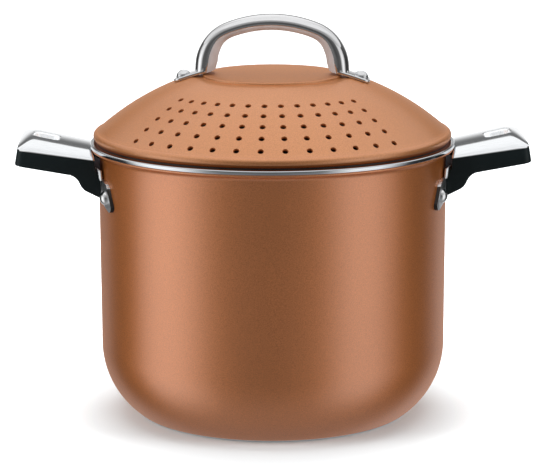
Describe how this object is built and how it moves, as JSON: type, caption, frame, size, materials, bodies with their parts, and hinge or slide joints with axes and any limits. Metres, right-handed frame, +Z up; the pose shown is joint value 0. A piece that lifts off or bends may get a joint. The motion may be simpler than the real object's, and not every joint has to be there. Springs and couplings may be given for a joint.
{
  "type": "pasta pot",
  "caption": "Deep copper-coloured pasta pot with a crimped steel rim, two riveted side handles and a domed lift-off lid with strainer holes and an arched handle.",
  "frame": {"origin": "on the ground under the pot, at the middle of its base", "axes": "+Z up along the pot's axis, X through the two side handles, the strainer holes of the lid face -Y"},
  "size_m": [0.3008, 0.2144, 0.2364],
  "materials": {
    "copper_body": "satin",
    "copper_lid": "satin",
    "rim_steel": "polished",
    "yoke_steel": "satin",
    "rivet_steel": "satin",
    "cover_steel": "satin",
    "handle_chrome": "polished",
    "phenolic": "satin",
    "heel_grey": "matte"
  },
  "bodies": {
    "pot": {"pot_body": "copper_body", "rim_band": "rim_steel", "left_yoke": "yoke_steel", "left_yoke_rivets": "rivet_steel", "left_heel": "heel_grey", "left_grip": "phenolic", "left_grip_cover": "cover_steel", "left_grip_screw": "rivet_steel", "right_yoke": "yoke_steel", "right_yoke_rivets": "rivet_steel", "right_heel": "heel_grey", "right_grip": "phenolic", "right_grip_cover": "cover_steel", "right_grip_screw": "rivet_steel"},
    "lid": {"lid_shell": "copper_lid", "lid_handle": "handle_chrome", "lid_rivets": "rivet_steel"}
  },
  "joints": [
    {"name": "lid_lift", "type": "slide", "parent": "pot", "child": "lid", "axis": [0, 0, 1], "range_m": [0, 0.15]}
  ]
}
